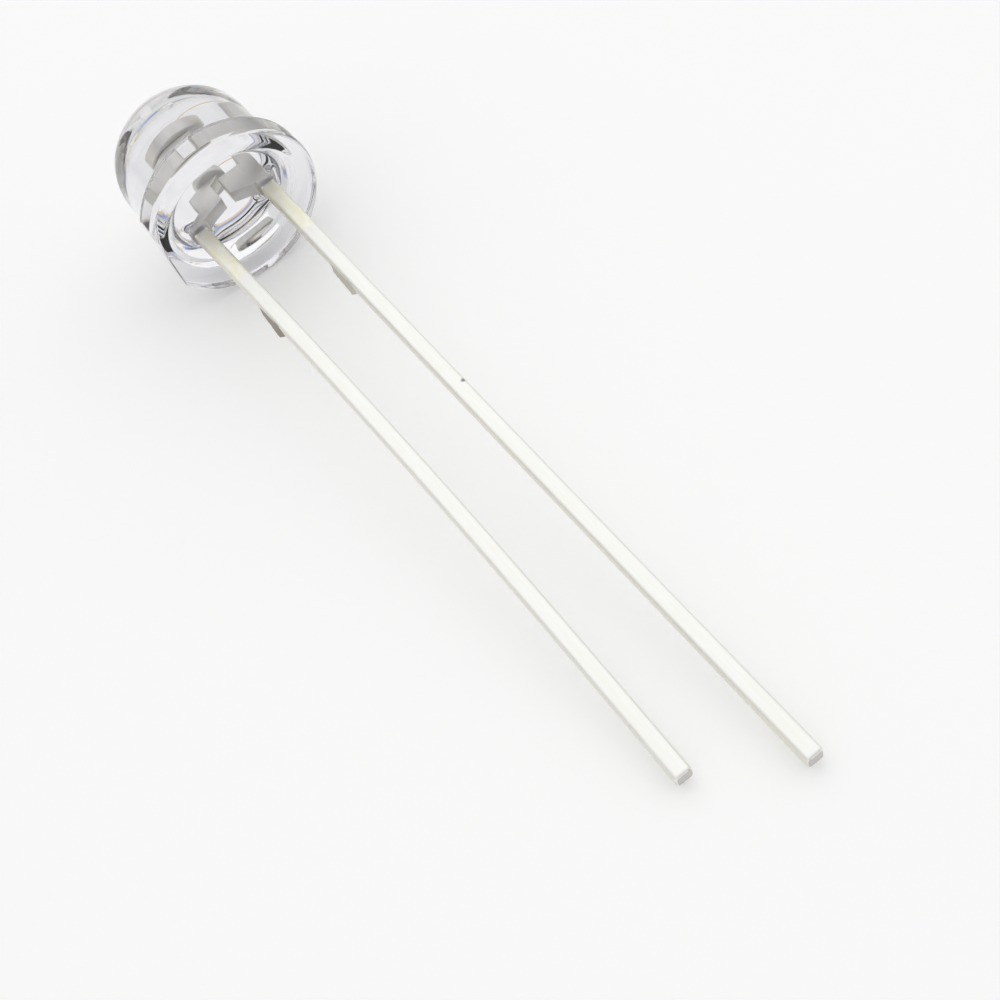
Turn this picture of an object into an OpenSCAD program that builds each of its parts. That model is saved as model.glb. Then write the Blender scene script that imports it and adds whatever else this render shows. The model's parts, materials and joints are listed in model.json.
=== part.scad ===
// Through-hole LED with a clear low-dome "straw hat" case, lying loose on a flat surface.
// +X runs along the leads, away from the dome, and +Z is up. The origin is on that surface,
// under the middle of the part. The part rests on its flange and on the two lead tips.
// All sizes are in millimetres.

/* [Case] */
// Diameter of the case above the flange
case_d = 4.85; // [4:0.05:6]
// How far the flange stands out from the case
flange_step = 0.475; // [0.3:0.025:0.7]
// Thickness of the flange
flange_t = 0.85; // [0.6:0.05:1.4]
// How deep the flat that marks the cathode is cut into the flange
flat_depth = 0.33; // [0.2:0.01:0.36]
// Height of the straight wall above the flange
wall_h = 2.35; // [1.9:0.05:3.5]
// Height of the dome above the straight wall
dome_h = 1.8; // [1.4:0.05:2.8]
// Round on the flange's two edges
flange_round = 0.15; // [0.05:0.01:0.25]
// Fillet where the straight wall meets the flange
wall_fillet = 0.1; // [0.02:0.01:0.2]
// Depth of the hollow that the resin sets to in the base face
hollow_depth = 0.38; // [0.1:0.01:0.42]
// Width of that hollow's sloping wall
hollow_wall = 0.38; // [0.2:0.02:0.5]
// Width of the flat seat between that hollow and the flange's rounded edge
seat_w = 0.55; // [0.1:0.05:0.65]
// Height that the resin climbs each lead below the hollow's floor
climb_h = 0.32; // [0.06:0.02:0.5]
// How far that climb spreads on the floor round the lead
climb_w = 0.14; // [0.1:0.02:0.3]
// Thickness of the resin at the climb's upper edge, outside the lead's corners
climb_edge = 0.03; // [0.02:0.01:0.06]

/* [Leads] */
// Side of the square lead
lead_w = 0.5; // [0.4:0.02:0.6]
// Distance between the two leads at the base
pitch = 2.54; // [2.1:0.01:3.1]
// Length of the cathode lead below the base
cathode_len = 23.0; // [15:0.1:32]
// How much longer the anode lead is
anode_extra = 1.6; // [0.5:0.1:3]
// Start of the cut tie-bar stubs below the base
stub_from = 3.7; // [2.5:0.1:6]
// Length of a stub along its lead
stub_len = 1.4; // [0.8:0.1:2]
// How far a stub stands out from its lead
stub_out = 0.14; // [0.02:0.01:0.2]

/* [Bends] */
// How far both tips have been pushed towards the anode's side
tip_shift = 0.31; // [-0.6:0.01:0.6]
// Bow of the cathode lead between the base and its tip
cathode_bow = 0.17; // [-0.6:0.01:0.6]
// Bow of the anode lead between the base and its tip
anode_bow = -0.03; // [-0.6:0.01:0.6]

/* [Lead frame inside] */
// Height of the reflector cup's rim above the base
cup_rim_h = 3.3; // [3:0.05:3.8]
// Outer diameter of the cup
cup_d = 1.1; // [0.9:0.05:1.3]
// Height of the coined cup
cup_h = 0.55; // [0.45:0.05:0.7]
// Diameter of the cup's mouth
mouth_d = 0.9; // [0.75:0.05:1.05]
// Diameter of the cup's floor
floor_d = 0.5; // [0.42:0.02:0.6]
// Depth of the cup
cup_depth = 0.3; // [0.25:0.01:0.36]
// Width of the plate that carries the cup
anvil_w = 0.85; // [0.6:0.05:1]
// How far that plate stops short of the axis
anvil_short = 0.1; // [0:0.02:0.2]
// Width of the neck between that plate and the cup, where it meets the cup
neck_w = 0.62; // [0.4:0.02:0.7]
// Gap between the two plates
frame_gap = 0.3; // [0.15:0.05:0.4]
// Height of the top of the anode's plate above the base
foot_top_h = 2.4; // [1.8:0.05:2.6]
// Height of the anode post's top above the base
post_top_h = 3.35; // [3:0.05:3.8]
// Width of the anode post
post_w = 0.42; // [0.3:0.02:0.6]

/* [Chip and wire] */
// Side of the square chip
die_w = 0.3; // [0.2:0.01:0.36]
// Thickness of the chip
die_t = 0.13; // [0.08:0.01:0.2]
// Thickness of the silver glue under the chip
glue_t = 0.03; // [0.01:0.005:0.05]
// Diameter of the gold bond wire
wire_d = 0.03; // [0.02:0.005:0.05]
// Rise of the wire's loop above a straight line between its ends
wire_rise = 0.42; // [0.2:0.02:0.5]
// Diameter of the pressed foot at each end of the wire
bond_d = 0.09; // [0.07:0.01:0.12]
// Thickness of those feet
bond_t = 0.03; // [0.02:0.005:0.05]

/* [Hidden] */
$fn = 96;

case_r = case_d / 2;
flange_r = case_r + flange_step;
dome_from = flange_t + wall_h;
case_h = dome_from + dome_h;
hollow_r = flange_r - flange_round - seat_w;
flat_at = flange_r - flat_depth;
flat_half = sqrt(pow(flange_r, 2) - pow(flat_at, 2));
anode_len = cathode_len + anode_extra;
lead_corner_r = lead_w * sqrt(2) / 2;
stub_end = stub_from + stub_len;
// Points along each side of a bent lead, from its stubs to its tip
bend_steps = 24;
arc_steps = 6;
dome_steps = 20;

// The part lies with its flange and both lead tips on the surface. The flange touches on the
// round of its base edge. half is how far a tip's lowest edge is below its lead's middle.
function lay_angle(half) =
    let (across = flange_r - flange_round - half)
    let (along = (cathode_len + anode_len) / 2 + flange_round)
    atan2(across, along) + asin(flange_round / norm([across, along]));
function lead_roll(tilt) = asin(anode_extra * tan(tilt) / pitch);
function low_edge(roll) = lead_w / 2 * (cos(roll) + sin(roll));
roll = lead_roll(lay_angle(lead_w / 2));
tilt = lay_angle(low_edge(roll));
axis_h = (flange_r - flange_round) * cos(tilt) + flange_round * (1 - sin(tilt));
// Ends of the part along X, measured from the middle of the base
dome_end = dome_from * cos(tilt) + norm([dome_h * cos(tilt), case_r * sin(tilt)]);
tip_rise = (pitch / 2 + tip_shift) * sin(roll) + low_edge(roll);
lead_end = anode_len * cos(tilt) + tip_rise * sin(tilt);
// The flange ends sooner on the side of its flat, so the part's middle is not on the axis
flat_side = flat_at * cos(roll) + flat_half * sin(roll);

// Takes a piece from its own place on the LED's axis to where the LED lies
module lie()
    translate([(dome_end - lead_end) / 2, (flat_side - flange_r) / 2, axis_h])
        rotate([0, tilt, 0])
            rotate([roll, 0, 0])
                children();

// Turns a height above the base, drawn along +Z, towards the dome
module up_the_case() rotate([0, -90, 0]) children();

function arc(centre, r, from, to, steps) =
    [for (i = [0:steps]) let (a = from + (to - from) * i / steps)
        centre + r * [cos(a), sin(a)]];

// ---- Clear epoxy case ----

// The hollow has a level floor and a sloping wall
case_outline = concat(
    [[0, hollow_depth], [hollow_r - hollow_wall, hollow_depth], [hollow_r, 0]],
    arc([flange_r - flange_round, flange_round], flange_round, -90, 0, arc_steps),
    arc([flange_r - flange_round, flange_t - flange_round], flange_round, 0, 90, arc_steps),
    arc([case_r + wall_fillet, flange_t + wall_fillet], wall_fillet, 270, 180, arc_steps),
    [for (i = [0:dome_steps - 1]) let (a = 90 * i / dome_steps)
        [case_r * cos(a), dome_from + dome_h * sin(a)]],
    [[0, case_h]]
);

module resin_climb(y)
    translate([-hollow_depth, y, 0])
        rotate([0, 90, 0])
            cylinder(h = climb_h, r1 = lead_corner_r + climb_w, r2 = lead_corner_r + climb_edge);

// What the mould's flat leaves out of the flange, on the cathode's side
module flat_cut()
    translate([-case_h, -flange_r - 1, -flange_r])
        cube([case_h + 1, 1 + flat_depth, 2 * flange_r]);

module case_body() {
    difference() {
        up_the_case()
            rotate_extrude()
                polygon(case_outline);
        flat_cut();
    }
    for (side = [-1, 1])
        resin_climb(side * pitch / 2);
}

module lens_case()
    color([0.93, 0.95, 0.97, 0.35])
        lie()
            difference() {
                case_body();
                cathode_frame();
                anode_frame();
                chip();
                glue();
                wire();
            }

// ---- Leads, stamped flat from one strip ----

// Sideways place of a lead's middle at a distance below the base
function bend(x, len, bow) = tip_shift * x / len + bow * sin(180 * x / len);

// One side of a lead: plain down to its stub, out round the stub, and on to the tip
function lead_side(y, len, bow, side) = concat(
    [for (p = [[0, 0], [stub_from, 0], [stub_from, stub_out], [stub_end, stub_out]])
        [p[0], y + bend(p[0], len, bow) + side * (lead_w / 2 + p[1])]],
    [for (i = [0:bend_steps]) let (x = stub_end + (len - stub_end) * i / bend_steps)
        [x, y + bend(x, len, bow) + side * lead_w / 2]]
);

function reversed(points) = [for (i = [len(points) - 1:-1:0]) points[i]];

module strip(outline)
    translate([0, 0, -lead_w / 2])
        linear_extrude(lead_w)
            polygon(outline);

module outer_lead(y, len, bow)
    strip(concat(lead_side(y, len, bow, -1), reversed(lead_side(y, len, bow, 1))));

// Heights where the parts of the frame inside the case begin and end
shank_h = 0.45;
shoulder_h = 0.9;
neck_h = 0.45;
cup_base_h = cup_rim_h - cup_h;
neck_from_h = cup_base_h - neck_h;
lead_out = pitch / 2 + lead_w / 2;
lead_in = pitch / 2 - lead_w / 2;
anvil_in = -anvil_short;
anode_in = anvil_in + frame_gap;
post_y = pitch / 2 - lead_w / 2 + post_w / 2;

module cup()
    up_the_case()
        translate([0, 0, cup_base_h])
            difference() {
                cylinder(h = cup_h, d = cup_d);
                translate([0, 0, cup_h - cup_depth])
                    cylinder(h = cup_depth, d1 = floor_d, d2 = mouth_d);
            }

module cathode_frame() {
    outer_lead(-pitch / 2, cathode_len, cathode_bow);
    strip([
        [0, -lead_out],
        [-shank_h, -lead_out],
        [-shoulder_h, anvil_in - anvil_w],
        [-neck_from_h, anvil_in - anvil_w],
        [-cup_base_h, -neck_w / 2],
        [-cup_base_h, neck_w / 2],
        [-neck_from_h, anvil_in],
        [-shoulder_h, anvil_in],
        [-shank_h, -lead_in],
        [0, -lead_in]
    ]);
    cup();
}

module anode_frame() {
    outer_lead(pitch / 2, anode_len, anode_bow);
    strip([
        [0, lead_in],
        [-shank_h, lead_in],
        [-shoulder_h, anode_in],
        [-foot_top_h, anode_in],
        [-foot_top_h, lead_in],
        [-post_top_h, lead_in],
        [-post_top_h, lead_in + post_w],
        [-foot_top_h, lead_out],
        [0, lead_out]
    ]);
}

module cathode_lead() color([0.82, 0.82, 0.78]) lie() cathode_frame();
module anode_lead() color([0.82, 0.82, 0.78]) lie() anode_frame();

// ---- Chip, its glue and its wire ----

cup_floor_h = cup_rim_h - cup_depth;
die_top_h = cup_floor_h + glue_t + die_t;

module glue()
    up_the_case()
        translate([0, 0, cup_floor_h])
            cylinder(h = glue_t, d = floor_d);

module chip()
    up_the_case()
        translate([-die_w / 2, -die_w / 2, cup_floor_h + glue_t])
            cube([die_w, die_w, die_t]);

module bond(y, h)
    up_the_case()
        translate([0, y, h])
            cylinder(h = bond_t, d = bond_d);

// The wire is one arc between the middles of its feet
wire_start = [-die_top_h - bond_t / 2, 0];
wire_end = [-post_top_h - bond_t / 2, post_y];
wire_span = norm(wire_end - wire_start);
wire_r = (pow(wire_span / 2, 2) + pow(wire_rise, 2)) / (2 * wire_rise);
wire_half = asin(wire_span / 2 / wire_r);
wire_lean = atan2(wire_end[0] - wire_start[0], wire_end[1] - wire_start[1]);

module wire() {
    bond(0, die_top_h);
    bond(post_y, post_top_h);
    translate([(wire_start[0] + wire_end[0]) / 2, (wire_start[1] + wire_end[1]) / 2, 0])
        rotate([0, 0, -wire_lean])
            translate([wire_r - wire_rise, 0, 0])
                rotate([0, 0, 180 - wire_half])
                    rotate_extrude(angle = 2 * wire_half)
                        translate([wire_r, 0])
                            circle(d = wire_d, $fn = 24);
}

module die() color([0.9, 0.78, 0.35]) lie() chip();
module die_glue() color([0.72, 0.72, 0.74]) lie() glue();
module bond_wire() color([0.9, 0.68, 0.25]) lie() wire();

lens_case();
cathode_lead();
anode_lead();
die();
die_glue();
bond_wire();
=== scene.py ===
import json
import math
import random
from functools import partial

import bmesh
import bpy
from mathutils import Matrix, Vector


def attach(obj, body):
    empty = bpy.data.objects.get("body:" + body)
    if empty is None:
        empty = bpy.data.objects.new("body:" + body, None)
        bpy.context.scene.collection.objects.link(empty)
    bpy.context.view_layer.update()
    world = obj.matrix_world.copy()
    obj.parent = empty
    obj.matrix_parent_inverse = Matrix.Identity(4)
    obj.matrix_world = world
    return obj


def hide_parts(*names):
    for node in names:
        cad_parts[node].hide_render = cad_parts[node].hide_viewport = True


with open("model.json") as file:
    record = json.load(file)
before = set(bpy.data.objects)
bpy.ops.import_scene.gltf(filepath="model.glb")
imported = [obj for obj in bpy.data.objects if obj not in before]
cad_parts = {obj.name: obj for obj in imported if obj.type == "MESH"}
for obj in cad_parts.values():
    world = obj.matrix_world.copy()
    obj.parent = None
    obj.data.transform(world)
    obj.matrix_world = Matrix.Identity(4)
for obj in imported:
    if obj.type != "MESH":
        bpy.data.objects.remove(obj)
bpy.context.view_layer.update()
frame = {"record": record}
MM = 0.001

# ---------------------------------------------------------------------------------------------
# Where the LED lies
# Its axis runs along the leads, tipped down and rolled a little, because it rests on the flange
# and on two lead tips of unequal length. The two leg mounts give that place.
# ---------------------------------------------------------------------------------------------
LEG_MOUNT_X = 3.0 * MM  # distance of the leg mounts below the base face

mounts = {m["name"]: m for m in frame["record"]["mounts"]}
cathode_leg = Vector(mounts["cathode_leg"]["pos_m"])
anode_leg = Vector(mounts["anode_leg"]["pos_m"])
axis_x = Vector(mounts["anode_leg"]["axis"]).normalized()
axis_y = (anode_leg - cathode_leg).normalized()
axis_z = axis_x.cross(axis_y)
base_middle = (cathode_leg + anode_leg) / 2 - LEG_MOUNT_X * axis_x
half_pitch = (anode_leg - cathode_leg).length / 2 / MM

lie = Matrix.Translation(base_middle) @ Matrix((axis_x, axis_y, axis_z)).transposed().to_4x4()


def finish_piece(name, mesh, material, nodes):
    """Lays a mesh, drawn in millimetres on the LED's own axis, where the LED lies, as one piece."""
    mesh.transform(Matrix.Scale(MM, 4))
    mesh.transform(lie)
    mesh.update()
    piece = bpy.data.objects.new(name, mesh)
    bpy.context.scene.collection.objects.link(piece)
    mesh.materials.clear()
    mesh.materials.append(material)
    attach(piece, "root")
    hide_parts(*nodes)


# ---------------------------------------------------------------------------------------------
# Camera, light and floor
# A macro view from above and beside the lead tips, on a white sheet. The light is one large
# softbox and a white tent all round.
# ---------------------------------------------------------------------------------------------
CAMERA_PLACE = Vector((27.74, -6.69, 31.63)) * MM
CAMERA_TARGET = Vector((3.18, 0.31, 0.0)) * MM
CAMERA_ROLL = math.radians(-23.26)
CAMERA_FOV = math.radians(37.08)
SOFTBOX_PLACE = Vector((-60, 60, 180)) * MM
SOFTBOX_SIZE = 420 * MM
SOFTBOX_WATTS = 0.16
TENT_LOW = (0.70, 0.70, 0.69, 1)
TENT_HIGH = (0.78, 0.78, 0.77, 1)
TENT_WARM = (0.86, 0.66, 0.44, 1)
TENT_COOL = (0.26, 0.33, 0.56, 1)
OPENING_TOWARDS = Vector((24.0, 5.0, 19.0))
OPENING_RADIUS = math.radians(8)
OPENING_WARM = (1.0, 0.85, 0.55, 1)
OPENING_COOL = (0.30, 0.40, 0.85, 1)
OPENING_DARK = (0.14, 0.14, 0.17, 1)
WHITE = (1, 1, 1, 1)
SHEET_SIZE = 0.6
PAPER_WHITE = (0.9, 0.9, 0.9, 1)
PAPER_ROUGHNESS = 0.8
PAPER_GLOW = 0.15  # the sheet is lit from behind as well, which leaves only faint shadows

camera_data = bpy.data.cameras.new("camera")
camera_data.angle = CAMERA_FOV
camera_data.clip_start = 0.001
camera_data.clip_end = 5.0
camera = bpy.data.objects.new("camera", camera_data)
bpy.context.scene.collection.objects.link(camera)
aim = (CAMERA_TARGET - CAMERA_PLACE).to_track_quat("-Z", "Y").to_matrix().to_4x4()
camera.matrix_world = Matrix.Translation(CAMERA_PLACE) @ aim @ Matrix.Rotation(CAMERA_ROLL, 4, "Z")
bpy.context.scene.camera = camera

bpy.context.scene.view_settings.view_transform = "Standard"
bpy.context.scene.cycles.use_denoising = True

softbox_data = bpy.data.lights.new("overhead_softbox", "AREA")
softbox_data.size = SOFTBOX_SIZE
softbox_data.energy = SOFTBOX_WATTS
softbox = bpy.data.objects.new("overhead_softbox", softbox_data)
bpy.context.scene.collection.objects.link(softbox)
turn = (-SOFTBOX_PLACE).to_track_quat("-Z", "Y").to_matrix().to_4x4()
softbox.matrix_world = Matrix.Translation(SOFTBOX_PLACE) @ turn

# The tent has one dark opening. Its light turns warm and cool round that opening and above the
# horizon, which the clear case shows as thin coloured lines.
world = bpy.data.worlds.new("studio")
world.use_nodes = True
tent = world.node_tree.nodes
tent_link = world.node_tree.links.new
look = tent.new("ShaderNodeTexCoord")


def tent_ramp(direction, stops):
    """Tent colour by the cosine of the angle to a direction, from stops of cosine and colour."""
    towards = tent.new("ShaderNodeVectorMath")
    towards.operation = "DOT_PRODUCT"
    towards.inputs[1].default_value = direction.normalized()
    tent_link(look.outputs["Generated"], towards.inputs[0])
    spread = tent.new("ShaderNodeMapRange")
    spread.inputs["From Min"].default_value = -1.0
    tent_link(towards.outputs["Value"], spread.inputs["Value"])
    ramp = tent.new("ShaderNodeValToRGB")
    tent_link(spread.outputs["Result"], ramp.inputs["Fac"])
    elements = ramp.color_ramp.elements
    while len(elements) < len(stops):
        elements.new(0.5)
    for element, (cosine, color) in zip(elements, stops):
        element.position = (cosine + 1) / 2
        element.color = color
    return ramp.outputs["Color"]


# A cosine to straight up of 0 is the horizon, and 1 is overhead
tent_wall = tent_ramp(Vector((0, 0, 1)), (
    (-1.0, TENT_LOW), (-0.02, TENT_LOW), (0.02, TENT_WARM), (0.10, TENT_COOL), (0.22, TENT_LOW),
    (0.6, TENT_HIGH), (1.0, TENT_HIGH),
))
opening_edge = math.cos(OPENING_RADIUS)
tent_opening = tent_ramp(OPENING_TOWARDS, (
    (-1.0, WHITE), (opening_edge - 0.05, WHITE), (opening_edge - 0.035, OPENING_WARM),
    (opening_edge - 0.02, OPENING_COOL), (opening_edge, OPENING_DARK), (1.0, OPENING_DARK),
))
cloth = tent.new("ShaderNodeMix")
cloth.data_type = "RGBA"
cloth.blend_type = "MULTIPLY"
cloth.inputs["Factor"].default_value = 1.0
tent_link(tent_wall, cloth.inputs["A"])
tent_link(tent_opening, cloth.inputs["B"])
tent_link(cloth.outputs["Result"], tent["Background"].inputs["Color"])
bpy.context.scene.world = world

sheet_mesh = bpy.data.meshes.new("white_sheet")
sheet_end = SHEET_SIZE / 2
sheet_mesh.from_pydata(
    [(-sheet_end, -sheet_end, 0), (sheet_end, -sheet_end, 0),
     (sheet_end, sheet_end, 0), (-sheet_end, sheet_end, 0)], [], [(0, 1, 2, 3)]
)
white_sheet = bpy.data.objects.new("white_sheet", sheet_mesh)
bpy.context.scene.collection.objects.link(white_sheet)
paper = bpy.data.materials.new("white_paper")
paper.use_nodes = True
paper_shader = paper.node_tree.nodes["Principled BSDF"]
paper_shader.inputs["Base Color"].default_value = PAPER_WHITE
paper_shader.inputs["Roughness"].default_value = PAPER_ROUGHNESS
paper_shader.inputs["Emission Color"].default_value = WHITE
paper_shader.inputs["Emission Strength"].default_value = PAPER_GLOW
sheet_mesh.materials.append(paper)


# ---------------------------------------------------------------------------------------------
# Clear epoxy case
# One casting of water-clear epoxy: a low dome, a straight wall and a flange. The open side of
# the mould leaves a hollow in the base face, and the resin climbs each lead a little.
# ---------------------------------------------------------------------------------------------
CASE_R = 2.425
FLANGE_R = 2.9
FLANGE_T = 0.85
FLANGE_ROUND = 0.15
FLAT_AT = 2.57
FLAT_ROUND = 0.04
WALL_FILLET = 0.1
DOME_FROM = 3.2
DOME_H = 1.8
SEAT_W = 0.55
HOLLOW_DEPTH = 0.38
HOLLOW_WALL = 0.38  # how far the hollow's sloping wall runs in from its edge
HOLLOW_EASE = 0.35  # how much of that slope is eased into the floor and the seat
HOLLOW_OVAL = (2.3, 1.82)  # half its size across the leads and up
HOLLOW_RAISED = 0.3
CLIMB_H = 0.36
CLIMB_W = 0.12
CLIMB_WITHIN = 2.1  # the resin climbs only inside this radius
LEAD_W = 0.5
HOLLOW_STEPS = 64
ROUND_STEPS = 10
FILLET_STEPS = 8
WALL_STEPS = 12
DOME_STEPS = 64
CASE_SEGMENTS = 288
WELD = 1e-5  # points nearer than this are one
NEAR = 1e-4  # play when a point is compared with a size
EPOXY_TINT = (0.90, 0.90, 0.925, 1)
EPOXY_IOR = 1.53
edge_r = FLANGE_R - FLANGE_ROUND
hollow_r = edge_r - SEAT_W


def arc(centre, radius, start, end, steps):
    """Points of a circular arc between two angles in degrees, ends left out."""
    points = []
    for i in range(1, steps):
        angle = math.radians(start + (end - start) * i / steps)
        points.append((centre[0] + radius * math.cos(angle), centre[1] + radius * math.sin(angle)))
    return points


def case_outline():
    """Radius and height of the case, from the middle of the base face out and up to the dome."""
    points = []
    for i in range(HOLLOW_STEPS + 1):
        r = hollow_r * i / HOLLOW_STEPS
        up_wall = max(0.0, 1 - (hollow_r - r) / HOLLOW_WALL)
        smooth_step = up_wall ** 2 * (3 - 2 * up_wall)
        eased = (1 - HOLLOW_EASE) * up_wall + HOLLOW_EASE * smooth_step
        points.append((r, HOLLOW_DEPTH * (1 - eased)))
    points += [(edge_r - SEAT_W / 2, 0), (edge_r, 0)]
    points += arc((edge_r, FLANGE_ROUND), FLANGE_ROUND, -90, 0, ROUND_STEPS)
    points += [(FLANGE_R, FLANGE_ROUND), (FLANGE_R, FLANGE_T / 2)]
    points += [(FLANGE_R, FLANGE_T - FLANGE_ROUND)]
    points += arc((edge_r, FLANGE_T - FLANGE_ROUND), FLANGE_ROUND, 0, 90, ROUND_STEPS)
    points += [(edge_r, FLANGE_T), (CASE_R + WALL_FILLET, FLANGE_T)]
    wall_from = FLANGE_T + WALL_FILLET
    points += arc((CASE_R + WALL_FILLET, wall_from), WALL_FILLET, 270, 180, FILLET_STEPS)
    for i in range(WALL_STEPS + 1):
        points.append((CASE_R, wall_from + (DOME_FROM - wall_from) * i / WALL_STEPS))
    for i in range(1, DOME_STEPS + 1):
        angle = math.radians(90 * i / DOME_STEPS)
        points.append((CASE_R * math.cos(angle), DOME_FROM + DOME_H * math.sin(angle)))
    return points


def shape_tree(name, inputs, output):
    """An empty Geometry Nodes tree with inputs by kind, a material input and one output."""
    tree = bpy.data.node_groups.new(name, "GeometryNodeTree")
    for kind, input_names in inputs.items():
        for input_name in input_names:
            tree.interface.new_socket(input_name, in_out="INPUT", socket_type="NodeSocket" + kind)
    tree.interface.new_socket("Material", in_out="INPUT", socket_type="NodeSocketMaterial")
    tree.interface.new_socket(output, in_out="OUTPUT", socket_type="NodeSocketGeometry")
    return tree, tree.nodes.new("NodeGroupInput"), tree.links.new


def calculated(tree, operation, a, b=None, clamp=False):
    """The output of a math node on two values, each a number or another node's output."""
    node = tree.nodes.new("ShaderNodeMath")
    node.operation = operation
    node.use_clamp = clamp
    for socket, value in zip(node.inputs, (a, b)):
        if isinstance(value, (int, float)):
            socket.default_value = value
        elif value is not None:
            tree.links.new(value, socket)
    return node.outputs[0]


def finish_tree(tree, given, mesh):
    """Smooths a swept mesh, gives it the tree's material and hands it to the tree's output."""
    smooth = tree.nodes.new("GeometryNodeSetShadeSmooth")
    real = tree.nodes.new("GeometryNodeRealizeInstances")
    paint = tree.nodes.new("GeometryNodeSetMaterial")
    result = tree.nodes.new("NodeGroupOutput")
    tree.links.new(mesh, smooth.inputs["Geometry"])
    tree.links.new(smooth.outputs["Geometry"], real.inputs["Geometry"])
    tree.links.new(real.outputs["Geometry"], paint.inputs["Geometry"])
    tree.links.new(given.outputs["Material"], paint.inputs["Material"])
    tree.links.new(paint.outputs["Geometry"], result.inputs[0])


def turned_case_tree():
    """Geometry Nodes: an outline in the XY plane, X outwards, is swept once round the axis."""
    kinds = {"Geometry": ("Outline",), "Float": ("Ring radius",), "Int": ("Segments",)}
    tree, given, link = shape_tree("turned_case", kinds, "Case")
    ring = tree.nodes.new("GeometryNodeCurvePrimitiveCircle")
    link(given.outputs["Ring radius"], ring.inputs["Radius"])
    link(given.outputs["Segments"], ring.inputs["Resolution"])
    # The ring carries the outline at its own radius, so the outline is moved in by that much
    inwards = tree.nodes.new("ShaderNodeCombineXYZ")
    link(calculated(tree, "MULTIPLY", given.outputs["Ring radius"], -1.0), inwards.inputs["X"])
    outline = tree.nodes.new("GeometryNodeMeshToCurve")
    link(given.outputs["Outline"], outline.inputs["Mesh"])
    moved = tree.nodes.new("GeometryNodeTransform")
    link(outline.outputs["Curve"], moved.inputs["Geometry"])
    link(inwards.outputs["Vector"], moved.inputs["Translation"])
    sweep = tree.nodes.new("GeometryNodeCurveToMesh")
    link(ring.outputs["Curve"], sweep.inputs["Curve"])
    link(moved.outputs["Geometry"], sweep.inputs["Profile Curve"])
    weld = tree.nodes.new("GeometryNodeMergeByDistance")
    weld.inputs["Distance"].default_value = WELD
    link(sweep.outputs["Mesh"], weld.inputs["Geometry"])
    finish_tree(tree, given, weld.outputs["Geometry"])
    return tree


def grown(name, mesh, tree, values):
    """The plain mesh that a Geometry Nodes tree makes from a mesh, with its named inputs set."""
    source = bpy.data.objects.new(name + "_source", mesh)
    bpy.context.scene.collection.objects.link(source)
    modifier = source.modifiers.new("nodes", "NODES")
    modifier.node_group = tree
    for item in tree.interface.items_tree:
        if item.in_out == "INPUT" and item.name in values:
            modifier[item.identifier] = values[item.name]
    depsgraph = bpy.context.evaluated_depsgraph_get()
    result = bpy.data.meshes.new_from_object(source.evaluated_get(depsgraph), depsgraph=depsgraph)
    result.name = name
    bpy.data.objects.remove(source)
    return result


def clear_epoxy():
    """Water-clear cast epoxy, with the faint waviness that a moulded lens has."""
    material = bpy.data.materials.new("clear_epoxy")
    material.use_nodes = True
    nodes = material.node_tree.nodes
    link = material.node_tree.links.new
    shader = nodes["Principled BSDF"]
    shader.inputs["Base Color"].default_value = EPOXY_TINT
    shader.inputs["Roughness"].default_value = 0.0
    shader.inputs["IOR"].default_value = EPOXY_IOR
    shader.inputs["Transmission Weight"].default_value = 1.0
    place = nodes.new("ShaderNodeTexCoord")
    waves = nodes.new("ShaderNodeTexNoise")
    waves.inputs["Scale"].default_value = 500.0
    waves.inputs["Detail"].default_value = 1.5
    bump = nodes.new("ShaderNodeBump")
    bump.inputs["Strength"].default_value = 0.05
    bump.inputs["Distance"].default_value = 0.2 * MM
    link(place.outputs["Object"], waves.inputs["Vector"])
    link(waves.outputs["Fac"], bump.inputs["Height"])
    link(bump.outputs["Normal"], shader.inputs["Normal"])
    return material


def from_axis(vertex):
    """Distance of a vertex from the LED's axis."""
    return math.hypot(vertex.co.y, vertex.co.z)


def press_flat(mesh):
    """Moves the flange's edge in to the cathode's flat, with a small round at the flat's edges."""
    for vertex in mesh.vertices:
        r = from_axis(vertex)
        if -vertex.co.x > FLANGE_T + NEAR or r < edge_r - NEAR:
            continue
        limit = FLAT_AT - (FLANGE_R - r) * FLAT_ROUND / FLANGE_ROUND
        vertex.co.y = max(vertex.co.y, -limit)


def shift_hollow(mesh):
    """Makes the hollow a little oval and off centre, as the resin set."""
    for vertex in mesh.vertices:
        if -vertex.co.x < HOLLOW_DEPTH + NEAR and from_axis(vertex) < hollow_r + NEAR:
            vertex.co.y *= HOLLOW_OVAL[0] / hollow_r
            vertex.co.z = vertex.co.z * HOLLOW_OVAL[1] / hollow_r + HOLLOW_RAISED


def raise_climb(mesh):
    """Lets the resin in the hollow climb each lead, as it does before it sets."""
    for vertex in mesh.vertices:
        if -vertex.co.x > HOLLOW_DEPTH + NEAR or from_axis(vertex) > CLIMB_WITHIN:
            continue
        across = max(abs(abs(vertex.co.y) - half_pitch) - LEAD_W / 2, 0)
        up = max(abs(vertex.co.z) - LEAD_W / 2, 0)
        vertex.co.x += CLIMB_H * math.exp(-math.hypot(across, up) / CLIMB_W)


def turn_outwards(mesh):
    """Welds a mesh and turns its faces outwards."""
    shape = bmesh.new()
    shape.from_mesh(mesh)
    bmesh.ops.remove_doubles(shape, verts=shape.verts, dist=WELD)
    bmesh.ops.recalc_face_normals(shape, faces=shape.faces)
    shape.to_mesh(mesh)
    shape.free()


outline_points = case_outline()
outline_mesh = bpy.data.meshes.new("case_outline")
outline_mesh.from_pydata(
    [(r, h, 0) for r, h in outline_points], [(i, i + 1) for i in range(len(outline_points) - 1)], []
)
epoxy = clear_epoxy()
case_mesh = grown(
    "clear_case",
    outline_mesh,
    turned_case_tree(),
    {"Ring radius": 1.0, "Segments": CASE_SEGMENTS, "Material": epoxy},
)
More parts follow.
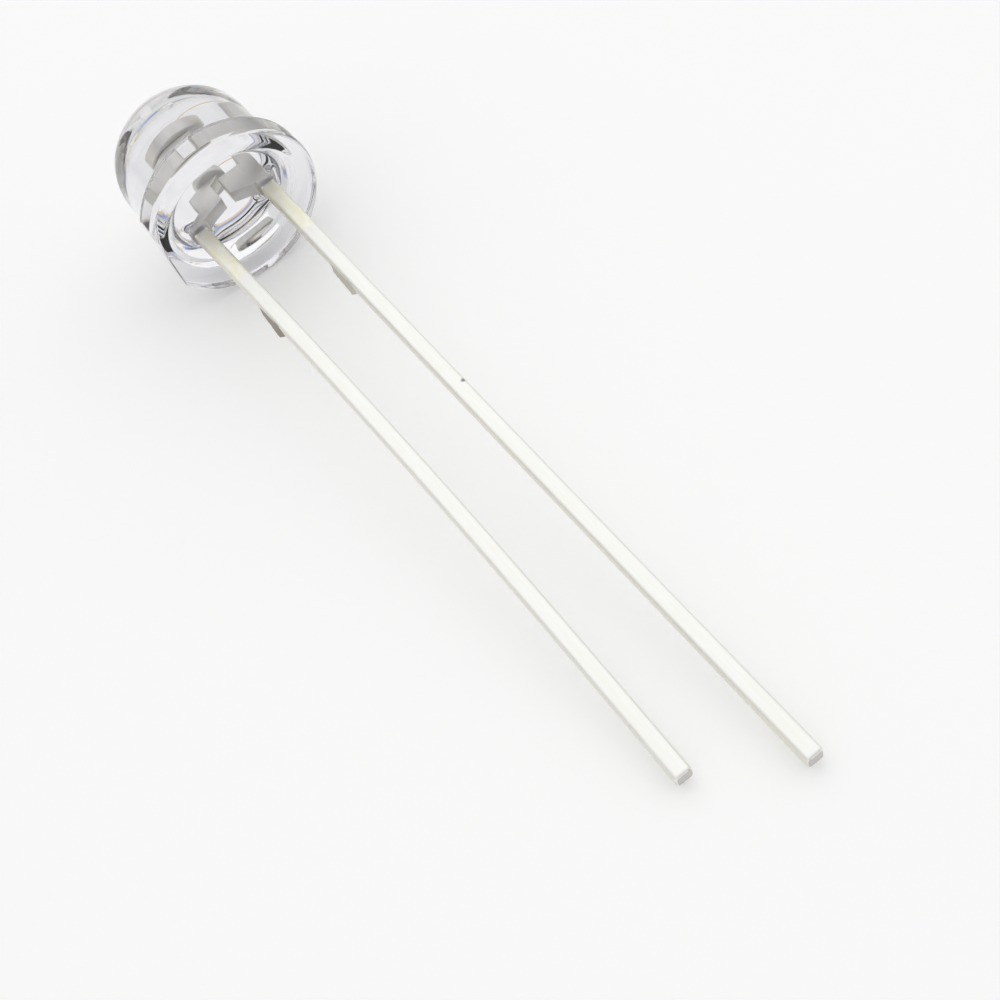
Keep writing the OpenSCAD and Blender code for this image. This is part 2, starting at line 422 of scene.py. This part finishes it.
# The outline's height runs to the dome, which is away from the leads
case_mesh.transform(Matrix.Rotation(math.radians(90), 4, "Y"))
press_flat(case_mesh)
shift_hollow(case_mesh)
raise_climb(case_mesh)
turn_outwards(case_mesh)
finish_piece("clear_case", case_mesh, epoxy, ["lens_case"])


# ---------------------------------------------------------------------------------------------
# Leads
# Two flat strips stamped from one sheet of steel and plated with silver: a square lead below the
# base, and a plate inside the case. The cathode's plate is coined into the reflector cup. The
# leads were dipped in solder up to a sharp line, and the tie bars were sheared off as stubs.
# ---------------------------------------------------------------------------------------------
CATHODE_LEN = 23.0
ANODE_LEN = 24.6
TIP_SHIFT = 0.31
CATHODE_BOW = 0.17
ANODE_BOW = -0.03
LEAD_CORNER = 0.11
LEAD_TIP_ROUND = 0.13
LEAD_RINGS = 240
INSIDE = -0.3  # a lead runs this far into its plate
DIP_FROM = 2.45
DIP_GROWTH = 0.03
DIP_WANDER = 0.25
DIP_FADE = 0.02
WAVINESS = 0.08
WAVE_OFFSET = 20.0  # gives the two leads different waves

STUB_LEN = 1.4
CATHODE_STUB_FROM = 3.6
ANODE_STUB_FROM = 3.95
STUB_OUT = 0.14
STUB_STEPS_ALONG = 30
STUB_STEPS_DOWN = 8
STUB_STEEPNESS = 10  # a stub rises to its full reach within a tenth of its length
STUB_SUNK = 0.03  # how far its outer face starts inside the lead
STUB_TOP_REACH = 0.1  # the part of its reach that the stub has at its top
STUB_HALF_H = 0.42  # in widths of the lead, as is the next
STUB_ROOT = 0.2
STUB_SAG = 0.06
TORN_DEPTH = 0.012
# How bare a sheared face is: 0 is wetted by solder all over, and 1 is bare steel
# At the tips it is partly bare steel at the cut and partly painted shade on end faces that face away
# from the light
TIP_BARENESS_AND_SHADE = 0.45
CATHODE_STUB_BARENESS = 0.85
ANODE_STUB_BARENESS = 0.4
TIP_DEPTH = 0.02

PLATE_FROM = 0.05  # the plates start this far below the base face, inside the leads
PLATE_EDGE = 0.05
NECK_H = 0.35
SHOULDER_H = 0.9
CATHODE_PLATE_H = 2.3
CATHODE_PLATE_OUT = -0.95
CATHODE_PLATE_IN = -0.1
ANODE_PLATE_H = 2.4
ANODE_PLATE_IN = 0.2
POST_W = 0.42
POST_TOP_H = 3.35
CUP_RIM_H = 3.3
CUP_R = 0.55
CUP_H = 0.55
CUP_FOOT_ROUND = 0.08
CUP_LIP = 0.03
CUP_STEM_HALF_W = 0.31
MOUTH_R = 0.45
CUP_FLOOR_R = 0.25
CUP_DEPTH = 0.3

PLATING_INSIDE = (0.76, 0.75, 0.72, 1)
TARNISH = ((0.96, 0.94, 0.74, 1), (1.0, 0.99, 0.92, 1))
SOLDER = ((0.92, 0.92, 0.87, 1), (0.97, 0.97, 0.96, 1))
# Painted shade: faces that face sideways get a darker, yellower colour that stands in for the shade
# on the lead's sides
PAINTED_SIDE_SHADE = (0.78, 0.76, 0.66, 1)
PAINTED_SIDE_SHADE_SHARE = 0.7
# The colour of bare steel, also used as painted shade on the tips' end faces
BARE_STEEL_AND_TIP_SHADE = (0.34, 0.30, 0.26, 1)
DIRT = (0.32, 0.30, 0.29, 1)
SPECK_PLACE = (10.45, 1.55, 0.25)
SPECK_R = 0.09
SPECK_CORE_R = 0.03
STEEL_ROUGHNESS = 0.44
STREAK_ROUGHNESS = 0.12
TORN_ROUGHNESS = 0.25
BASE_FADE = 0.1
cup_foot_h = CUP_RIM_H - CUP_H
cup_floor_h = CUP_RIM_H - CUP_DEPTH


def drawn_lead_tree():
    """Geometry Nodes: a rounded square is swept along a line that leans and bows to one side."""
    kinds = {"Float": ("Start", "Length", "Side", "Width", "Corner", "Tip shift", "Bow",
                       "Dip from", "Dip growth", "Waviness", "Wave offset")}
    tree, given, link = shape_tree("drawn_lead", kinds, "Lead")
    number = partial(calculated, tree)

    def point(x, y=None):
        node = tree.nodes.new("ShaderNodeCombineXYZ")
        link(x, node.inputs["X"])
        if y is not None:
            link(y, node.inputs["Y"])
        return node.outputs["Vector"]

    line = tree.nodes.new("GeometryNodeCurvePrimitiveLine")
    link(point(given.outputs["Start"]), line.inputs["Start"])
    link(point(given.outputs["Length"]), line.inputs["End"])
    spaced = tree.nodes.new("GeometryNodeResampleCurve")
    spaced.inputs["Count"].default_value = LEAD_RINGS
    link(line.outputs["Curve"], spaced.inputs["Curve"])

    position = tree.nodes.new("GeometryNodeInputPosition")
    split = tree.nodes.new("ShaderNodeSeparateXYZ")
    link(position.outputs["Position"], split.inputs["Vector"])
    x = split.outputs["X"]
    along = number("DIVIDE", x, given.outputs["Length"], clamp=True)
    half_wave = number("SINE", number("MULTIPLY", along, math.pi))
    bow = number("MULTIPLY", given.outputs["Bow"], half_wave)
    sideways = number("ADD", number("MULTIPLY", given.outputs["Tip shift"], along), bow)
    place = tree.nodes.new("GeometryNodeSetPosition")
    link(spaced.outputs["Curve"], place.inputs["Geometry"])
    link(point(x, number("ADD", given.outputs["Side"], sideways)), place.inputs["Position"])

    # The solder is a little thicker than the bare plating, and the skin is slightly uneven
    dipped = number("GREATER_THAN", x, given.outputs["Dip from"])
    thin = number("SUBTRACT", 1.0, given.outputs["Dip growth"])
    size = number("ADD", thin, number("MULTIPLY", dipped, given.outputs["Dip growth"]))
    waves = tree.nodes.new("ShaderNodeTexNoise")
    waves.noise_dimensions = "1D"
    waves.inputs["Scale"].default_value = 1.3
    waves.inputs["Detail"].default_value = 2.0
    link(number("ADD", x, given.outputs["Wave offset"]), waves.inputs["W"])
    uneven = number("MULTIPLY", waves.outputs["Fac"], given.outputs["Waviness"])
    radius = tree.nodes.new("GeometryNodeSetCurveRadius")
    link(place.outputs["Geometry"], radius.inputs["Curve"])
    link(number("SUBTRACT", size, uneven), radius.inputs["Radius"])
    upright = tree.nodes.new("GeometryNodeSetCurveNormal")
    upright.mode = "Z_UP"
    link(radius.outputs["Curve"], upright.inputs["Curve"])

    square = tree.nodes.new("GeometryNodeCurvePrimitiveQuadrilateral")
    link(given.outputs["Width"], square.inputs["Width"])
    link(given.outputs["Width"], square.inputs["Height"])
    rounded = tree.nodes.new("GeometryNodeFilletCurve")
    rounded.mode = "POLY"
    rounded.inputs["Count"].default_value = 7
    link(square.outputs["Curve"], rounded.inputs["Curve"])
    link(given.outputs["Corner"], rounded.inputs["Radius"])
    sweep = tree.nodes.new("GeometryNodeCurveToMesh")
    sweep.inputs["Fill Caps"].default_value = True
    link(upright.outputs["Curve"], sweep.inputs["Curve"])
    link(rounded.outputs["Curve"], sweep.inputs["Profile Curve"])
    finish_tree(tree, given, sweep.outputs["Mesh"])
    return tree


def round_edges(shape, width, segments, sharper_than):
    """Rounds a bmesh's edges that are sharper than an angle in degrees."""
    sharp = [e for e in shape.edges
             if len(e.link_faces) == 2 and e.calc_face_angle() > math.radians(sharper_than)]
    bmesh.ops.bevel(shape, geom=sharp, offset=width, segments=segments, profile=0.5,
                    affect="EDGES", clamp_overlap=True)


def stamped_plate(outline):
    """A flat strip of lead thickness from an outline in millimetres, with its edges rounded."""
    shape = bmesh.new()
    base = shape.faces.new([shape.verts.new((x, y, -LEAD_W / 2)) for x, y in outline])
    raised = bmesh.ops.extrude_face_region(shape, geom=[base])["geom"]
    for vertex in (v for v in raised if isinstance(v, bmesh.types.BMVert)):
        vertex.co.z = LEAD_W / 2
    bmesh.ops.recalc_face_normals(shape, faces=shape.faces)
    round_edges(shape, PLATE_EDGE, segments=4, sharper_than=20)
    mesh = bpy.data.meshes.new("plate")
    shape.to_mesh(mesh)
    shape.free()
    return mesh


def turned(outline, segments):
    """A closed solid of revolution round the LED's axis from radius and height points."""
    shape = bmesh.new()
    rings = []
    for r, h in outline:
        ring = []
        for i in range(1 if r == 0 else segments):
            angle = math.tau * i / segments
            ring.append(shape.verts.new((-h, r * math.cos(angle), r * math.sin(angle))))
        rings.append(ring)
    for lower, upper in zip(rings, rings[1:]):
        for i in range(segments):
            j = (i + 1) % segments
            corners = [lower[i % len(lower)], lower[j % len(lower)]]
            corners += [upper[j % len(upper)], upper[i % len(upper)]]
            shape.faces.new(list(dict.fromkeys(corners)))
    bmesh.ops.recalc_face_normals(shape, faces=shape.faces)
    mesh = bpy.data.meshes.new("turned")
    shape.to_mesh(mesh)
    shape.free()
    return mesh


def reflector_cup():
    """The coined cup: a straight outside, a rounded rim and a cone inside."""
    foot_r = CUP_R - CUP_FOOT_ROUND
    lip_r = CUP_R - CUP_LIP
    points = [(0, cup_foot_h), (foot_r, cup_foot_h)]
    points += arc((foot_r, cup_foot_h + CUP_FOOT_ROUND), CUP_FOOT_ROUND, -90, 0, 6)
    points += [(CUP_R, cup_foot_h + CUP_FOOT_ROUND), (CUP_R, CUP_RIM_H - CUP_LIP)]
    points += arc((lip_r, CUP_RIM_H - CUP_LIP), CUP_LIP, 0, 90, 5)
    points += [(lip_r, CUP_RIM_H), (MOUTH_R, CUP_RIM_H), (CUP_FLOOR_R, cup_floor_h)]
    points += [(0, cup_floor_h)]
    return turned(points, 96)


def lead_bend(x, length, bow):
    """How far a lead's middle has moved sideways at a distance below the base."""
    return TIP_SHIFT * x / length + bow * math.sin(math.pi * x / length)


def sheared_stub(side, middle, start, out_at_start, out_at_end, seed):
    """What is left of a sheared tie bar: a wedge on one side of a lead, with a slanting torn face.

    The shear dragged that face down and out. middle(x) is the lead's sideways place.
    """
    torn = random.Random(seed)
    shape = bmesh.new()
    grid = []
    for i in range(STUB_STEPS_ALONG + 1):
        t = i / STUB_STEPS_ALONG
        x = start + STUB_LEN * t
        swell = min(1.0, STUB_STEEPNESS * t, STUB_STEEPNESS * (1 - t))
        out = (out_at_start + (out_at_end - out_at_start) * t) * swell
        row = []
        for j in range(STUB_STEPS_DOWN + 1):
            d = j / STUB_STEPS_DOWN
            rough = torn.uniform(-TORN_DEPTH, TORN_DEPTH) * swell * min(1.0, out / STUB_OUT)
            slant = STUB_TOP_REACH + (1 - STUB_TOP_REACH) * d
            reach = LEAD_W / 2 - STUB_SUNK + (out + STUB_SUNK) * slant + rough * d
            sag = STUB_SAG * d * out / STUB_OUT
            z = LEAD_W * (STUB_HALF_H - 2 * STUB_HALF_H * d) - sag
            row.append(shape.verts.new((x, middle(x) + side * reach, z)))
        grid.append(row)
    # The top and bottom of the wedge's root, inside the lead
    roots = []
    for row in grid:
        root_y = middle(row[0].co.x) + side * LEAD_W * STUB_ROOT
        roots.append([shape.verts.new((v.co.x, root_y, v.co.z)) for v in (row[0], row[-1])])
    cut = shape.faces.layers.int.new("cut")
    for i in range(STUB_STEPS_ALONG):
        row, next_row = grid[i], grid[i + 1]
        root, next_root = roots[i], roots[i + 1]
        for j in range(STUB_STEPS_DOWN):
            torn_face = shape.faces.new((row[j], next_row[j], next_row[j + 1], row[j + 1]))
            torn_face[cut] = 1
        shape.faces.new((root[0], next_root[0], next_row[0], row[0]))
        shape.faces.new((row[-1], next_row[-1], next_root[1], root[1]))
        shape.faces.new((root[1], next_root[1], next_root[0], root[0]))
    for row, root in ((grid[0], roots[0]), (grid[-1], roots[-1])):
        shape.faces.new([root[0]] + row + [root[1]])[cut] = 1
    bmesh.ops.recalc_face_normals(shape, faces=shape.faces)
    mesh = bpy.data.meshes.new("stub")
    shape.to_mesh(mesh)
    shape.free()
    return mesh


def joined(name, meshes):
    """One mesh from several, with the cut marks of their faces kept."""
    shape = bmesh.new()
    shape.faces.layers.int.new("cut")
    for mesh in meshes:
        shape.from_mesh(mesh)
    for face in shape.faces:
        face.smooth = True
    result = bpy.data.meshes.new(name)
    shape.to_mesh(result)
    shape.free()
    return result


def mark_faces(mesh, length, stub_bareness):
    """Gives each face of a lead how bare it is, with painted shade added on the tips' end faces, and
    how much it faces sideways, for the painted shade on the side faces.
    """
    cut = [0] * len(mesh.polygons)
    mesh.attributes["cut"].data.foreach_get("value", cut)
    bareness = mesh.attributes.new("cut_edge", "FLOAT", "FACE")
    side = mesh.attributes.new("painted_side_shade", "FLOAT", "FACE")
    for polygon in mesh.polygons:
        i = polygon.index
        if cut[i]:
            bareness.data[i].value = stub_bareness
        elif polygon.center.x > length - TIP_DEPTH:
            # The tip's end faces: partly bare steel at the cut, partly painted shade
            bareness.data[i].value = TIP_BARENESS_AND_SHADE
        # How much the face faces sideways, which sets its painted shade
        side.data[i].value = abs(polygon.normal.y)
    mesh.attributes.remove(mesh.attributes["cut"])


def plated_steel():
    """Silver-plated steel strip, yellowed near the case, solder-dipped past a sharp line."""
    material = bpy.data.materials.new("plated_steel")
    material.use_nodes = True
    nodes = material.node_tree.nodes
    link = material.node_tree.links.new
    number = partial(calculated, material.node_tree)
    shader = nodes["Principled BSDF"]
    shader.inputs["Metallic"].default_value = 1.0

    def blend(factor, a, b):
        node = nodes.new("ShaderNodeMix")
        node.data_type = "RGBA"
        link(factor, node.inputs["Factor"])
        for socket, color in ((node.inputs["A"], a), (node.inputs["B"], b)):
            if isinstance(color, tuple):
                socket.default_value = color
            else:
                link(color, socket)
        return node.outputs["Result"]

    def noise(scale, detail, stretch=1.0):
        """Noise in the LED's own frame, in cycles a millimetre, stretched along the lead."""
        squash = nodes.new("ShaderNodeMapping")
        squash.inputs["Scale"].default_value = (scale / stretch, scale, scale)
        link(own, squash.inputs["Vector"])
        node = nodes.new("ShaderNodeTexNoise")
        node.inputs["Scale"].default_value = 1.0
        node.inputs["Detail"].default_value = detail
        link(squash.outputs["Vector"], node.inputs["Vector"])
        return node.outputs["Fac"]

    def ramp(given, low, high):
        node = nodes.new("ShaderNodeMapRange")
        node.inputs["From Min"].default_value = low
        node.inputs["From Max"].default_value = high
        link(given, node.inputs["Value"])
        return node.outputs["Result"]

    def face_mark(name):
        node = nodes.new("ShaderNodeAttribute")
        node.attribute_name = name
        return node.outputs["Fac"]

    # Millimetres along the LED's axis, across it and up
    coordinates = nodes.new("ShaderNodeTexCoord")
    shifted = nodes.new("ShaderNodeVectorMath")
    shifted.operation = "SUBTRACT"
    shifted.inputs[1].default_value = base_middle
    link(coordinates.outputs["Object"], shifted.inputs[0])
    parts = []
    for direction in (axis_x, axis_y, axis_z):
        dot = nodes.new("ShaderNodeVectorMath")
        dot.operation = "DOT_PRODUCT"
        dot.inputs[1].default_value = direction / MM
        link(shifted.outputs["Vector"], dot.inputs[0])
        parts.append(dot.outputs["Value"])
    together = nodes.new("ShaderNodeCombineXYZ")
    for part, socket in zip(parts, together.inputs):
        link(part, socket)
    own = together.outputs["Vector"]
    along = parts[0]

    uneven = number("SUBTRACT", noise(scale=3.0, detail=1.0), 0.5)
    line_at = number("ADD", along, number("MULTIPLY", uneven, DIP_WANDER))
    dipped = ramp(line_at, DIP_FROM - DIP_FADE, DIP_FROM + DIP_FADE)
    outside = ramp(along, -BASE_FADE, BASE_FADE)
    mottled = ramp(noise(scale=4.0, detail=3.0), 0.35, 0.65)
    streaks = ramp(noise(scale=9.0, detail=3.0, stretch=8.0), 0.3, 0.7)
    side_shade_mask = ramp(face_mark("painted_side_shade"), 0.5, 0.95)
    bareness = face_mark("cut_edge")

    plating = blend(outside, PLATING_INSIDE, blend(mottled, *TARNISH))
    finish = blend(dipped, plating, blend(streaks, *SOLDER))
    # Painted shade on the faces that face sideways
    finish = blend(number("MULTIPLY", side_shade_mask, PAINTED_SIDE_SHADE_SHARE), finish, PAINTED_SIDE_SHADE)
    # Sheared faces show bare steel; at the tips this darkening is also painted shade
    finish = blend(bareness, finish, BARE_STEEL_AND_TIP_SHADE)

    # A dark speck of dirt on the anode lead
    gap = nodes.new("ShaderNodeVectorMath")
    gap.operation = "DISTANCE"
    gap.inputs[1].default_value = SPECK_PLACE
    link(own, gap.inputs[0])
    finish = blend(ramp(gap.outputs["Value"], SPECK_R, SPECK_CORE_R), finish, DIRT)
    link(finish, shader.inputs["Base Color"])

    satin = number("ADD", STEEL_ROUGHNESS, number("MULTIPLY", streaks, STREAK_ROUGHNESS))
    roughness = number("ADD", satin, number("MULTIPLY", bareness, TORN_ROUGHNESS))
    link(roughness, shader.inputs["Roughness"])
    bump = nodes.new("ShaderNodeBump")
    bump.inputs["Strength"].default_value = 0.25
    bump.inputs["Distance"].default_value = 0.02 * MM
    link(noise(scale=14.0, detail=4.0, stretch=3.0), bump.inputs["Height"])
    link(bump.outputs["Normal"], shader.inputs["Normal"])
    return material


lead_tree = drawn_lead_tree()
steel = plated_steel()
lead_out = half_pitch + LEAD_W / 2
lead_in = half_pitch - LEAD_W / 2
no_outline = bpy.data.meshes.new("no_outline")


def lead(name, side, length, bow, inner_pieces, node, stubs, stub_bareness):
    """One whole lead: the square lead, its two stubs and the pieces of its strip in the case."""
    square = grown(
        name, no_outline.copy(), lead_tree,
        {"Start": INSIDE, "Length": length, "Side": side * half_pitch, "Width": LEAD_W,
         "Corner": LEAD_CORNER, "Tip shift": TIP_SHIFT, "Bow": bow, "Dip from": DIP_FROM,
         "Dip growth": DIP_GROWTH, "Waviness": WAVINESS, "Wave offset": WAVE_OFFSET * side,
         "Material": steel},
    )
    shape = bmesh.new()
    shape.from_mesh(square)
    bmesh.ops.recalc_face_normals(shape, faces=shape.faces)
    round_edges(shape, LEAD_TIP_ROUND, segments=6, sharper_than=60)
    shape.to_mesh(square)
    shape.free()

    def middle(x):
        return side * half_pitch + lead_bend(x, length, bow)

    stub_meshes = [sheared_stub(direction, middle, start, out_at_start, out_at_end, seed)
                   for direction, start, out_at_start, out_at_end, seed in stubs]
    mesh = joined(name, [square] + stub_meshes + inner_pieces)
    mark_faces(mesh, length, stub_bareness)
    finish_piece(name, mesh, steel, [node])


cathode_plate = stamped_plate([
    (PLATE_FROM, -lead_out), (-NECK_H, -lead_out), (-SHOULDER_H, CATHODE_PLATE_OUT),
    (-CATHODE_PLATE_H, CATHODE_PLATE_OUT), (-cup_foot_h, -CUP_STEM_HALF_W),
    (-cup_foot_h, CUP_STEM_HALF_W), (-CATHODE_PLATE_H, CATHODE_PLATE_IN),
    (-SHOULDER_H, CATHODE_PLATE_IN), (-NECK_H, -lead_in), (PLATE_FROM, -lead_in),
])
anode_plate = stamped_plate([
    (PLATE_FROM, lead_in), (-NECK_H, lead_in), (-SHOULDER_H, ANODE_PLATE_IN),
    (-ANODE_PLATE_H, ANODE_PLATE_IN), (-ANODE_PLATE_H, lead_in), (-POST_TOP_H, lead_in),
    (-POST_TOP_H, lead_in + POST_W), (-ANODE_PLATE_H, lead_out), (PLATE_FROM, lead_out),
])
# Each stub: its side, where it starts, how far it stands out at either end, and a seed
lead("cathode_strip", -1, CATHODE_LEN, CATHODE_BOW, [cathode_plate, reflector_cup()], "cathode_lead",
     [(-1, CATHODE_STUB_FROM, 0.03, STUB_OUT, 1), (1, CATHODE_STUB_FROM, 0.04, 0.05, 2)],
     CATHODE_STUB_BARENESS)
lead("anode_strip", 1, ANODE_LEN, ANODE_BOW, [anode_plate], "anode_lead",
     [(-1, ANODE_STUB_FROM, 0.05, STUB_OUT * 0.8, 5), (1, ANODE_STUB_FROM, 0.07, 0.04, 6)],
     ANODE_STUB_BARENESS)


# ---------------------------------------------------------------------------------------------
# Chip, glue and wire
# The light-emitting chip sits in the cup on a spot of silver-filled glue. One gold wire, welded
# with heat and pressure at both ends, arches from the chip's top to the anode post.
# ---------------------------------------------------------------------------------------------
DIE_W = 0.3
DIE_T = 0.13
DIE_ROUND = 0.008
GLUE_T = 0.03
GLUE_DIP = 0.004
WIRE_R = 0.015
WIRE_RISE = 0.42
BOND_R = 0.045
BOND_T = 0.03
GOLD = (0.95, 0.70, 0.28)
SEMICONDUCTOR = (0.62, 0.60, 0.40)
SILVER_GLUE = (0.74, 0.74, 0.76)
die_top_h = cup_floor_h + GLUE_T + DIE_T
post_y = lead_in + POST_W / 2


def plain_finish(name, color, metallic, roughness, grain_scale, grain):
    """A one-colour finish with a fine grain in its shade and its roughness."""
    material = bpy.data.materials.new(name)
    material.use_nodes = True
    nodes = material.node_tree.nodes
    link = material.node_tree.links.new
    shader = nodes["Principled BSDF"]
    shader.inputs["Metallic"].default_value = metallic
    place = nodes.new("ShaderNodeTexCoord")
    speckle = nodes.new("ShaderNodeTexNoise")
    speckle.inputs["Scale"].default_value = grain_scale
    speckle.inputs["Detail"].default_value = 3.0
    link(place.outputs["Object"], speckle.inputs["Vector"])
    shades = nodes.new("ShaderNodeMix")
    shades.data_type = "RGBA"
    shades.inputs["A"].default_value = tuple(c * (1 - grain) for c in color) + (1,)
    shades.inputs["B"].default_value = color + (1,)
    link(speckle.outputs["Fac"], shades.inputs["Factor"])
    link(shades.outputs["Result"], shader.inputs["Base Color"])
    spread = nodes.new("ShaderNodeMapRange")
    spread.inputs["To Min"].default_value = roughness * 0.8
    spread.inputs["To Max"].default_value = roughness * 1.2
    link(speckle.outputs["Fac"], spread.inputs["Value"])
    link(spread.outputs["Result"], shader.inputs["Roughness"])
    return material


def chip_mesh():
    """The sawn chip: a square block with slightly rounded edges."""
    shape = bmesh.new()
    bmesh.ops.create_cube(shape, size=1.0)
    for vertex in shape.verts:
        vertex.co.x *= DIE_T
        vertex.co.y *= DIE_W
        vertex.co.z *= DIE_W
        vertex.co.x -= cup_floor_h + GLUE_T + DIE_T / 2
    round_edges(shape, DIE_ROUND, segments=2, sharper_than=60)
    mesh = bpy.data.meshes.new("chip_block")
    shape.to_mesh(mesh)
    shape.free()
    return mesh


def glue_mesh():
    """The glue fills the cup's floor and curls up at its edge."""
    top = cup_floor_h + GLUE_T
    points = [(0, cup_floor_h), (CUP_FLOOR_R, cup_floor_h), (CUP_FLOOR_R, top)]
    points += [(CUP_FLOOR_R * 0.94, top - GLUE_DIP), (CUP_FLOOR_R * 0.88, top - GLUE_DIP * 0.75)]
    points += [(0, top)]
    return turned(points, 64)


def bent_wire_tree():
    """Geometry Nodes: a round wire is swept along a three-point arc."""
    ends = ("Start", "Middle", "End")
    tree, given, link = shape_tree("bent_wire", {"Vector": ends, "Float": ("Wire radius",)}, "Wire")
    path = tree.nodes.new("GeometryNodeCurveArc")
    path.mode = "POINTS"
    path.inputs["Resolution"].default_value = 72
    for name in ends:
        link(given.outputs[name], path.inputs[name])
    section = tree.nodes.new("GeometryNodeCurvePrimitiveCircle")
    section.inputs["Resolution"].default_value = 20
    link(given.outputs["Wire radius"], section.inputs["Radius"])
    sweep = tree.nodes.new("GeometryNodeCurveToMesh")
    sweep.inputs["Fill Caps"].default_value = True
    link(path.outputs["Curve"], sweep.inputs["Curve"])
    link(section.outputs["Curve"], sweep.inputs["Profile Curve"])
    finish_tree(tree, given, sweep.outputs["Mesh"])
    return tree


def pressed_foot(y, h):
    """The flattened end of the wire, a small domed disc."""
    points = [(0, h), (BOND_R * 0.85, h), (BOND_R, h + BOND_T * 0.3), (BOND_R, h + BOND_T * 0.6)]
    points += [(BOND_R * 0.8, h + BOND_T * 0.95), (0, h + BOND_T)]
    mesh = turned(points, 32)
    mesh.transform(Matrix.Translation((0, y, 0)))
    return mesh


gold = plain_finish("gold", GOLD, 1.0, 0.2, 40000, 0.1)
wire_start = Vector((-die_top_h - BOND_T / 2, 0, 0))
wire_end = Vector((-POST_TOP_H - BOND_T / 2, post_y, 0))
wire_run = wire_end - wire_start
towards_dome = Vector((-wire_run.y, wire_run.x, 0)).normalized()
wire_top = (wire_start + wire_end) / 2 + WIRE_RISE * towards_dome
wire_arch = grown("wire_arch", no_outline.copy(), bent_wire_tree(),
                  {"Start": wire_start, "Middle": wire_top, "End": wire_end,
                   "Wire radius": WIRE_R, "Material": gold})
wire = joined("gold_wire", [wire_arch, pressed_foot(0, die_top_h), pressed_foot(post_y, POST_TOP_H)])
wire.attributes.remove(wire.attributes["cut"])
chip = plain_finish("chip", SEMICONDUCTOR, 0.0, 0.15, 20000, 0.3)
glue = plain_finish("silver_glue", SILVER_GLUE, 0.6, 0.5, 60000, 0.4)
finish_piece("gold_wire", wire, gold, ["bond_wire"])
finish_piece("light_chip", chip_mesh(), chip, ["die"])
finish_piece("silver_glue", glue_mesh(), glue, ["die_glue"])
